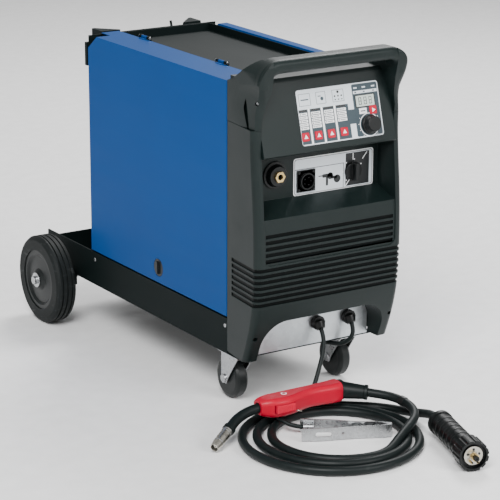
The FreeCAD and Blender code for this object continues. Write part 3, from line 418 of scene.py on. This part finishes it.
def slab(bm, corners, low, high, radius=0.0, slot=0):
    # a flat tile between two corners, low to high, with round corners
    x0, y0, x1, y1 = corners
    verts = bmesh.ops.create_cube(bm, size=1)["verts"]
    bmesh.ops.scale(bm, vec=(x1 - x0, y1 - y0, high - low), verts=verts)
    bmesh.ops.translate(bm, vec=((x0 + x1) / 2, (y0 + y1) / 2, (low + high) / 2), verts=verts)
    for face in {f for v in verts for f in v.link_faces}:
        face.material_index = slot
    if radius:
        upright = [e for e in {e for v in verts for e in v.link_edges}
                   if abs(e.verts[0].co.z - e.verts[1].co.z) > (high - low) / 2]
        bmesh.ops.bevel(bm, geom=upright, offset=radius, offset_type="OFFSET", segments=4, profile=0.5,
                        affect="EDGES", clamp_overlap=True, material=-1)


def disc(bm, x, y, radius, low, high, slot=0, segments=28, turn=0.0):
    verts = bmesh.ops.create_cone(bm, cap_ends=True, segments=segments, radius1=radius, radius2=radius,
                                  depth=high - low)["verts"]
    bmesh.ops.rotate(bm, cent=(0, 0, 0), matrix=Matrix.Rotation(math.radians(turn), 3, "Z"), verts=verts)
    bmesh.ops.translate(bm, vec=(x, y, (low + high) / 2), verts=verts)
    for face in {f for v in verts for f in v.link_faces}:
        face.material_index = slot


def outline(bm, corners, thick, low, high, slot):
    # a rectangular line drawn with four bars
    x0, y0, x1, y1 = corners
    slab(bm, (x0, y0, x1, y0 + thick), low, high, 0, slot)
    slab(bm, (x0, y1 - thick, x1, y1), low, high, 0, slot)
    slab(bm, (x0, y0 + thick, x0 + thick, y1 - thick), low, high, 0, slot)
    slab(bm, (x1 - thick, y0 + thick, x1, y1 - thick), low, high, 0, slot)


def frameOf(origin, across, up):
    # matrix from millimetres in a local frame to metres; across and up are unit vectors
    across = Vector(across).normalized()
    up = Vector(up).normalized()
    out = across.cross(up)
    turn = Matrix((across, up, out)).transposed().to_4x4()
    return Matrix.Translation(at(*origin)) @ turn @ Matrix.Scale(mm, 4)


def lathe(profile, origin, axis, name, finish, body, steps):
    # a closed outline of (along, radius) points in millimetres, turned about the axis
    axis = Vector(axis).normalized()
    bm = bmesh.new()
    verts = [bm.verts.new((a, 0, r)) for a, r in profile]
    edges = [bm.edges.new(pair) for pair in zip(verts, verts[1:])]
    edges.append(bm.edges.new((verts[-1], verts[0])))
    bmesh.ops.spin(bm, geom=verts + edges, cent=(0, 0, 0), axis=(1, 0, 0), angle=math.tau, steps=steps,
                   use_merge=True, use_duplicate=False)
    bmesh.ops.remove_doubles(bm, verts=bm.verts, dist=0.001)
    bmesh.ops.recalc_face_normals(bm, faces=bm.faces)
    turn = Vector((1, 0, 0)).rotation_difference(axis).to_matrix().to_4x4()
    bmesh.ops.transform(bm, matrix=Matrix.Translation(at(*origin)) @ turn @ Matrix.Scale(mm, 4),
                        verts=bm.verts)
    return finished(bm, name, finish, body)


# The torch hose and the two cables.

hoseLook = {"diameter": 16.0, "fromBoot": [(40, -174, 42), (60, -193, 40), (73, -217, 38), (78, -243, 35),
                                           (72, -269, 32), (57, -291, 30), (36, -308, 28), (12, -321.5, 23),
                                           (-8, -333, 18)], "toPlug": [(50, -156, 8.5), (70, -176, 8.5),
                                                                       (86, -200, 9), (95, -227, 11), (98,
                                                                                                       -254,
                                                                                                       17),
                                                                       (97, -280, 24), (91.5, -300, 27.3),
                                                                       (88.2, -311, 27.3)],
            "innerCentre": (-73, -243), "innerRadius": 108.5, "outerCentre": (-90, -249),
            "outerRadius": 167.0, "startAngle": -54.0, "sweep": (24, 966), "stepsPerTurn": 15,
            "spread": [(0, 0), (216, 0.0), (306, 0.10), (396, 0.36), (486, 0.45), (576, 0.55), (666, 0.82),
                       (756, 0.93), (846, 0.97), (936, 1.0), (1000, 1.0)], }
workLook = {"diameter": 8.0, "route": [(18, -57.6, 131.5), (18, -64, 122), (16, -70, 107), (10, -75, 90),
                                       (1, -80, 72), (-9, -86, 55), (-21, -93, 39), (-35, -99, 27.5), (-51,
                                                                                                       -104,
                                                                                                       22),
                                       (-69, -107, 21.6), (-88, -110, 21.7), (-107, -116, 21.6), (-124,
                                                                                                  -127,
                                                                                                  21.7),
                                       (-134.5, -144, 21.7), (-135.5, -163, 21.2), (-126, -179.5, 14.5),
                                       (-108.8, -190.2, 12.3)], }
leadLook = {"diameter": 8.0, "route": [(85, -57.6, 131.5), (85, -63, 122), (82, -65, 110), (76, -60, 99),
                                       (68, -49, 92), (61, -35, 90.3), (54, -21, 90.1), (46, -10, 90.6)], }


def between(pairs, key):
    for (a, first), (b, second) in zip(pairs, pairs[1:]):
        if key <= b:
            return first + (second - first) * (key - a) / (b - a)
    return pairs[-1][1]


def coilPoints(look):
    # loops lie side by side between the inner and the outer circle, clockwise from above
    points = []
    inner = Vector(look["innerCentre"])
    offset = inner - Vector(look["outerCentre"])
    reach = look["outerRadius"]
    low, high = look["sweep"]
    count = round((high - low) / 360 * look["stepsPerTurn"])
    for i in range(count + 1):
        sweep = low + (high - low) * i / count
        angle = math.radians(look["startAngle"] - sweep)
        way = Vector((math.cos(angle), math.sin(angle)))
        edge = -offset.dot(way) + math.sqrt(reach ** 2 - offset.length_squared + offset.dot(way) ** 2)
        half = look["diameter"] / 2
        near = look["innerRadius"] + half
        radius = near + (edge - half - near) * between(look["spread"], sweep)
        spot = inner + way * radius
        points.append((spot.x, spot.y, half + 0.3))
    return points


def cordLength(curve):
    # measured along the curve's own line
    spare = curve.data.copy()
    spare.bevel_depth = 0
    holder = bpy.data.objects.new("measure", spare)
    bpy.context.collection.objects.link(holder)
    bpy.context.view_layer.update()
    line = bpy.data.meshes.new_from_object(holder)
    spots = [vertex.co for vertex in line.vertices]
    total = sum((spots[e.vertices[0]] - spots[e.vertices[1]]).length for e in line.edges)
    bpy.data.objects.remove(holder)
    bpy.data.meshes.remove(line)
    return total


def makeCord(name, points, diameter, replaced):
    data = bpy.data.curves.new(name, "CURVE")
    data.dimensions = "3D"
    data.bevel_depth = diameter * mm / 2
    data.bevel_resolution = 6
    data.resolution_u = 8
    data.use_fill_caps = True
    spline = data.splines.new("NURBS")
    spline.points.add(len(points) - 1)
    for point, place in zip(spline.points, points):
        point.co = (*at(*place), 1)
    spline.order_u = 3
    spline.use_endpoint_u = True
    cord = bpy.data.objects.new(name, data)
    bpy.context.collection.objects.link(cord)
    data.materials.append(paints["hoseRubber"])
    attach(cord, "chassis")
    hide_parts(*replaced)
    return cord


makeCamera(cameraLook)
floor = makeStudio()
floor.data.materials.append(paints["floorPaper"])
hosePoints = hoseLook["fromBoot"] + coilPoints(hoseLook) + hoseLook["toPlug"]
hose = makeCord("torch_hose", hosePoints, hoseLook["diameter"], ["torch_hose_ends", "torch_hose_coil"])
workCable = makeCord("work_cable_line", workLook["route"], workLook["diameter"], ["work_cable"])
shortLead = makeCord("short_lead_line", leadLook["route"], leadLook["diameter"], ["short_lead"])
print("cords laid", round(cordLength(hose), 3), round(cordLength(workCable), 3),
      round(cordLength(shortLead), 3))


# Sheet metal, covers and running gear: the designed shapes with rounded edges.

softNodes = {"floor_pan": 0.7, "front_lower_panel": 0.5, "right_side_panel": 0.5, "side_door": 0.5,
             "top_tray": 0.6, "rear_panel": 0.5, "centre_partition": 0.4, "bottle_bracket": 0.8,
             "spool_gun_socket": 0.4, "euro_socket": 0.7, "euro_socket_insert": 0.4,
             "work_cable_gland": 1.2, "lead_gland": 1.2, "mains_gland": 1.2, "gas_inlet": 0.4,
             "rear_axle": 0.8, "caster_plates": 0.6, "caster_fork_left": 0.6, "caster_fork_right": 0.6,
             "transformer": 1.0, "fan_shroud": 0.8, "fan_rotor": 0.4, "feed_unit": 1.0, "spool_hub": 1.5,
             "door_hinge_pins": 0.5, "door_latch": 0.8, "encoder_knob": 0.9, "list_button_1": 1.0,
             "list_button_2": 1.0, "list_button_3": 1.0, "list_button_4": 1.0, "menu_button": 1.0,
             "selector_knob": 1.2, "drive_roll": 0.6, "pressure_roll": 0.6, "pressure_arm": 1.2,
             "torch_neck": 0.6, "torch_nozzle": 0.5, "torch_boot": 1.0, "torch_trigger": 0.9,
             "euro_plug": 0.9, "euro_plug_ring": 0.8, "clamp_far_arm": 0.4, "clamp_near_arm": 0.4,
             "clamp_spring": 0.2, }
for node, width in softNodes.items():
    soften(node, width, finishes="triggerRed" if node == "torch_trigger" else None)


grooveLook = {"upper": [338 - 11 * i for i in range(5)], "around": [279 - 10.6 * i for i in range(7)],
              "half": 3.2, "fieldHalf": 135.4}


def frontCover(look):
    # the louvre grooves get a darker material than the skin round them: painted shade for the shadow in the
    # grooves
    piece = soften("lower_front_cover", 0.8, finishes=["coverGrain", "grooveShade"])
    mesh = piece.data
    for face in mesh.polygons:
        spots = [(mesh.vertices[i].co - cartZero) / mm for i in face.vertices]
        inUpper = all(abs(p.x) < look["fieldHalf"] and p.y < -95 for p in spots)
        inAround = all(p.y < -85 or (abs(p.x) > 144 and p.y < -17) for p in spots)
        upper = inUpper and any(all(abs(p.z - z) < look["half"] for p in spots) for z in look["upper"])
        around = inAround and any(all(abs(p.z - z) < look["half"] for p in spots) for z in look["around"])
        if upper or around:
            face.material_index = 1


frontCover(grooveLook)
soften("upper_front_cover", 0.6, clamp=True)


wireLook = {"inner": 0.120, "outer": 0.140, "flatness": 0.3}


def woundSpool(look):
    # the reel of plastic, with wire on its barrel
    piece = soften("wire_spool", 0.6, finishes=["spoolPlastic", "wireTurns"])
    low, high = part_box("wire_spool")
    middle = (low + high) / 2
    for face in piece.data.polygons:
        away = face.center - middle
        radius = math.hypot(away.y, away.z)
        if abs(face.normal.x) < look["flatness"] and look["inner"] < radius < look["outer"]:
            face.material_index = 1


woundSpool(wireLook)
print("rounded copies made")

for node in ("control_board", "torch_handle", "rear_tyre_left", "rear_tyre_right",
             "rear_hub_left", "rear_hub_right", "caster_wheel_left", "caster_wheel_right"):
    part = nodes[node]
    part.data.materials.clear()
    part.data.materials.append(paints[finishOf[slotOf[node]]])

# Printed panels of the controls.

facePlace = {"low": (-107.0, 478.0), "high": (-74.0, 596.0)}
faceRun = Vector((0, facePlace["high"][0] - facePlace["low"][0], facePlace["high"][1] - facePlace["low"][1]))
faceFrame = frameOf((0, *facePlace["low"]), (1, 0, 0), faceRun)


def upperLabel():
    bm = bmesh.new()
    grey, white, slate, black = range(4)
    slab(bm, (-59, 10, 115, 108), 0, 0.5, 5, black)
    slab(bm, (-58, 11, 114, 107), 0.1, 0.7, 4.5, grey)
    slab(bm, (-57.2, 13, 46, 73), 0.2, 0.85, 0, slate)
    slab(bm, (58, 13, 112, 105), 0.2, 0.85, 3, slate)
    slab(bm, (46, 37, 58, 62), 0.2, 0.85, 0, slate)
    for x in (-36.5, -9.5, 17.5):
        slab(bm, (x - 2, 12, x + 2, 73.5), 0.3, 0.95, 0, white)
    rows = {-50: (38, 5), -23: (39, 5), 4: (44, 4), 31: (44, 4)}
    for x, (base, count) in rows.items():
        left, right = max(x - 9.5, -57), x + 9.5
        step = (68 - base) / count
        slab(bm, (left, 69, right, 72.5), 0.3, 1.0, 0, black)
        for row in range(count):
            y = base + row * step
            slab(bm, (left, y + 0.6, right, y + step - 0.6), 0.3, 1.0, 0.4, white)
            slab(bm, (left + 5, y + step / 2 - 0.5, right - 3, y + step / 2 + 0.6), 0.4, 1.1, 0, slate)
            disc(bm, left + 2.5, y + step / 2, 1.1, 0.4, 1.1, black, 10)
    for x, wide in ((-42, 12), (-8, 10), (28, 12)):
        outline(bm, (x - wide, 79, x + wide, 100), 0.6, 0.4, 0.95, slate)
    for i in range(3):
        disc(bm, 21 + i * 7, 89, 1.6, 0.4, 1.05, black, 12)
        slab(bm, (20 + i * 7, 82, 22.5 + i * 7, 84), 0.4, 1.05, 0, slate)
    disc(bm, 28, 96, 2.4, 0.4, 1.05, black, 14)
    slab(bm, (-50, 88.5, -34, 90.5), 0.4, 1.05, 0, slate)
    disc(bm, -6, 88, 3.2, 0.4, 1.05, slate, 14)
    slab(bm, (-14, 92, -8, 93.5), 0.4, 1.05, 0, slate)
    slab(bm, (60, 88, 111, 93), 0.4, 1.0, 0.6, grey)
    for x in (62, 80, 100):
        slab(bm, (x, 97, x + 7, 99.5), 0.4, 1.0, 0, grey)
        slab(bm, (x + 1, 89.5, x + 5, 91.5), 0.4, 1.1, 0, slate)
    slab(bm, (68, 52, 84, 62), 0.4, 1.0, 0.5, white)
    slab(bm, (71, 56, 81, 58), 0.5, 1.1, 0, slate)
    bmesh.ops.transform(bm, matrix=faceFrame, verts=bm.verts)
    return finished(bm, "upper_label", ["greyPrint", "whitePrint", "slatePrint", "blackPrintAndHoleShade", "buttonRed"],
                    "chassis")


def display():
    bm = bmesh.new()
    slab(bm, (62, 63, 104, 86), 0.4, 1.3, 1.2, 1)
    slab(bm, (64, 65, 102, 84), 0.6, 1.5, 0.6, 0)
    for i in range(3):
        x = 69 + i * 11
        outline(bm, (x, 68, x + 6, 81), 1.1, 1.3, 1.62, 1)
        slab(bm, (x + 1, 74, x + 5, 75.1), 1.3, 1.62, 0, 1)
    bmesh.ops.transform(bm, matrix=faceFrame, verts=bm.verts)
    return finished(bm, "display_window", ["displayGlass", "blackPrintAndHoleShade"], "chassis")


def arrow(name, x, along, turn, body):
    bm = bmesh.new()
    disc(bm, x, along - 0.6, 4.6, 2.3, 2.75, 0, 3, turn)
    bmesh.ops.transform(bm, matrix=faceFrame, verts=bm.verts)
    return finished(bm, name, "whitePrint", body)


scaleLook = {"centre": (86, 32), "ring": 20.5, "ringInner": 19.3, "marks": 11, "markCircle": 22.8,
             "first": -50, "step": 28}


def knobScale(look):
    # white ring and marks round the encoder knob
    bm = bmesh.new()
    across, up = look["centre"]
    disc(bm, across, up, look["ring"], 0.5, 1.05, 0, 64)
    disc(bm, across, up, look["ringInner"], 0.55, 1.1, 1, 64)
    for i in range(look["marks"]):
        angle = math.radians(look["first"] + i * look["step"])
        x = across + look["markCircle"] * math.cos(angle)
        y = up + look["markCircle"] * math.sin(angle)
        if 14 < y < 52 and x < 111:
            disc(bm, x, y, 0.8, 0.5, 1.05, 0, 8)
    bmesh.ops.transform(bm, matrix=faceFrame, verts=bm.verts)
    return finished(bm, "encoder_scale", ["whitePrint", "slatePrint"], "chassis")


bayY = -52.2
bayFrame = frameOf((0, bayY, 0), (1, 0, 0), (0, 0, 1))


def bayLabel():
    bm = bmesh.new()
    grey, black, white = range(3)
    slab(bm, (-42, 385.5, 129, 453), -0.1, 0.3, 5, white)
    slab(bm, (-40.2, 387, 127.2, 451.4), 0, 0.42, 4.2, black)
    slab(bm, (-39.2, 388, 126.2, 450.4), 0.1, 0.5, 3.8, grey)
    slab(bm, (-39.2, 432, 64, 433), 0.2, 0.62, 0, black)
    slab(bm, (64, 388, 65, 433), 0.2, 0.62, 0, black)
    slab(bm, (69, 389.5, 120, 449), 0.2, 0.7, 1, black)
    for x0, y0, x1, y1 in ((84, 436, 85.5, 448), (69, 415, 76, 416.5)):
        slab(bm, (x0, y0, x1, y1), 0.3, 0.9, 0, white)
    for x, y in ((74, 396), (110, 441)):
        verts = bmesh.ops.create_cube(bm, size=1)["verts"]
        bmesh.ops.scale(bm, vec=(15, 1.5, 0.9), verts=verts)
        bmesh.ops.rotate(bm, cent=(0, 0, 0), matrix=Matrix.Rotation(math.radians(50), 3, "Z"), verts=verts)
        bmesh.ops.translate(bm, vec=(x, y, 0.5), verts=verts)
        for face in {f for v in verts for f in v.link_faces}:
            face.material_index = white
    for turn in (30, 80, 130, 180, 230):
        angle = math.radians(turn)
        disc(bm, 84 + 21 * math.cos(angle), 416 + 21 * math.sin(angle), 1.2, 0.3, 0.95, white, 10)
    # a spool gun in outline: body, handle and spool
    disc(bm, 36, 413, 6.2, 0.3, 0.75, black, 20)
    slab(bm, (19, 411, 40, 417.5), 0.3, 0.75, 2.5, black)
    slab(bm, (11, 414, 20, 415.8), 0.3, 0.75, 0, black)
    slab(bm, (27, 396, 31.5, 412), 0.3, 0.75, 1.2, black)
    disc(bm, 51, 406, 7.2, 0.3, 0.75, black, 22)
    slab(bm, (38, 407, 51, 412), 0.3, 0.75, 1, black)
    bmesh.ops.transform(bm, matrix=bayFrame, verts=bm.verts)
    return finished(bm, "bay_label", ["greyPrint", "blackPrintAndHoleShade", "whitePrint"], "chassis")


upperLabel()
display()
for i, x in enumerate((-50, -23, 4, 31)):
    arrow("list_arrow_%d" % (i + 1), x, 26, 0, "list_button_%d" % (i + 1))
arrow("menu_arrow", 97, 57, -90, "menu_button")
knobScale(scaleLook)
bayLabel()
print("panels printed")


# Screws.

panScrews = [((side * 146.2, y, 149), (side, 0, 0)) for side in (-1, 1) for y in (7, 489)]
coverScrews = [((side * 144.5, -73, 150), (0, -1, 0)) for side in (-1, 1)]
coverScrews += [((side * 143.9, -94.4, 572), (side * 0.75, -0.66, 0)) for side in (-1, 1)]


def makeScrews(name, places, radius):
    bm = bmesh.new()
    for place, out in places:
        verts = bmesh.ops.create_cone(bm, cap_ends=True, segments=20, radius1=radius, radius2=radius * 0.7,
                                      depth=1.4)["verts"]
        # each head gets a black cross: painted shade standing in for the cross recess
        cross = []
        for turn in (0, 90):
            bar = bmesh.ops.create_cube(bm, size=1)["verts"]
            bmesh.ops.scale(bm, vec=(radius * 1.1, 0.6, 0.3), verts=bar)
            bmesh.ops.rotate(bm, cent=(0, 0, 0), matrix=Matrix.Rotation(math.radians(turn), 3, "Z"),
                             verts=bar)
            bmesh.ops.translate(bm, vec=(0, 0, 0.62), verts=bar)
            for face in {f for v in bar for f in v.link_faces}:
                face.material_index = 1
            cross += bar
        turn = Vector((0, 0, 1)).rotation_difference(Vector(out)).to_matrix().to_4x4()
        placed = Matrix.Translation(at(*place)) @ turn @ Matrix.Scale(mm, 4)
        bmesh.ops.transform(bm, matrix=placed, verts=verts + cross)
    finished(bm, name, ["steelPlate", "blackPrintAndHoleShade"], "chassis")


makeScrews("pan_screws", panScrews, 4.2)
makeScrews("cover_screws", coverScrews, 3.3)
print("screws set")


# Small things on the torch and its plug.


def hoop(name, centre, axis, radius, wire, finish, body):
    points = [(wire * math.cos(math.tau * i / 12),
               radius + wire * math.sin(math.tau * i / 12)) for i in range(12)]
    return lathe(points, centre, axis, name, finish, body, steps=36)


torchLook = {"mark": (-119, -143.5, 61.2), "markRadius": 5.2, "loop": (-101, -164, 33), "ribs": 9,
             "nose": (-246.4, -162.7, 24.5), "noseAxis": (-0.8312, -0.4651, -0.3048)}


def torchDetails(look):
    x, y, z = look["mark"]
    bm = bmesh.new()
    disc(bm, 0, 0, look["markRadius"], -0.6, 0.9, 0, 32)
    disc(bm, 0, 0, look["markRadius"] - 1.6, -0.5, 1.15, 1, 28)
    disc(bm, 0, 0, 1.5, -0.4, 1.4, 2, 16)
    bmesh.ops.transform(bm, matrix=frameOf((x, y, z), (1, 0, 0), (0, 1, 0)), verts=bm.verts)
    finished(bm, "torch_mark", ["whitePrint", "redPlastic", "blackPrintAndHoleShade"], "chassis")
    hoop("torch_loop", look["loop"], (0.3, 0.2, 1), 5.2, 1.1, "nickelPlate", "chassis")
    low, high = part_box("torch_trigger")
    bm = bmesh.new()
    for i in range(look["ribs"]):
        rib = bmesh.ops.create_cube(bm, size=1)["verts"]
        bmesh.ops.scale(bm, vec=(1.5 * mm, 1.4 * mm, (high.z - low.z) * 0.82), verts=rib)
        along = low.x + (high.x - low.x) * (i + 1.5) / (look["ribs"] + 2)
        bmesh.ops.translate(bm, vec=(along, low.y, (low.z + high.z) / 2), verts=rib)
    bmesh.ops.bevel(bm, geom=bm.edges[:], offset=0.3 * mm, offset_type="OFFSET", segments=2, profile=0.5,
                    affect="EDGES", clamp_overlap=True, material=-1)
    finished(bm, "trigger_ribs", "triggerRed", "torch_trigger")
    nose = Vector(look["nose"])
    axis = Vector(look["noseAxis"])
    for i, (along, radius, wide) in enumerate(((2.5, 9.7, 1.2), (7, 9.7, 1.2), (34.5, 9.7, 1.6))):
        band = [(-wide / 2, radius - 1), (-wide / 2, radius), (wide / 2, radius), (wide / 2, radius - 1)]
        lathe(band, nose + axis * along, axis, "nozzle_band_%d" % (i + 1), "castAlloy", "chassis", steps=48)


plugLook = {"rear": (83.0, -328.0, 27.3), "heading": (-0.297, -0.955, 0), "face": 159.0, "faceRadius": 16.4,
            "pins": [(-5.5, -9.5), (5.5, -9.5)], "holes": [(-10, 3), (10, 3), (0, 11)]}


def plugFace(look):
    heading = Vector(look["heading"]).normalized()
    bm = bmesh.new()
    start = look["face"]
    disc(bm, 0, 0, look["faceRadius"], start - 0.5, start + 1.6, 0, 48)
    disc(bm, 0, 0, 8.6, start + 1.0, start + 4.2, 0, 6)
    disc(bm, 0, 0, 6.6, start + 2.0, start + 12, 1, 32)
    for x, y in look["pins"]:
        disc(bm, x, y, 2.2, start + 1.0, start + 9, 1, 16)
    # the holes are thin black discs on the face: painted shade standing in for the hollows
    for x, y in look["holes"]:
        disc(bm, x, y, 2.3, start + 1.0, start + 1.9, 2, 16)
    placed = frameOf(look["rear"], (-heading.y, heading.x, 0), (0, 0, 1))
    bmesh.ops.transform(bm, matrix=placed, verts=bm.verts)
    return finished(bm, "plug_face", ["nickelPlate", "brassTurned", "blackPrintAndHoleShade"], "chassis")


def hoseBand():
    first, second = Vector(hoseLook["fromBoot"][2]), Vector(hoseLook["fromBoot"][3])
    band = [(-6, 7.6), (-6, 8.7), (-5.4, 9.0), (5.4, 9.0), (6, 8.7), (6, 7.6)]
    lathe(band, (first + second) / 2, second - first, "hose_band", "blackPlastic", "chassis", steps=48)


torchDetails(torchLook)
endFace = plugFace(plugLook)
hoseBand()
print("torch details made")

cordLength(hose)
cordLength(workCable)
cordLength(shortLead)
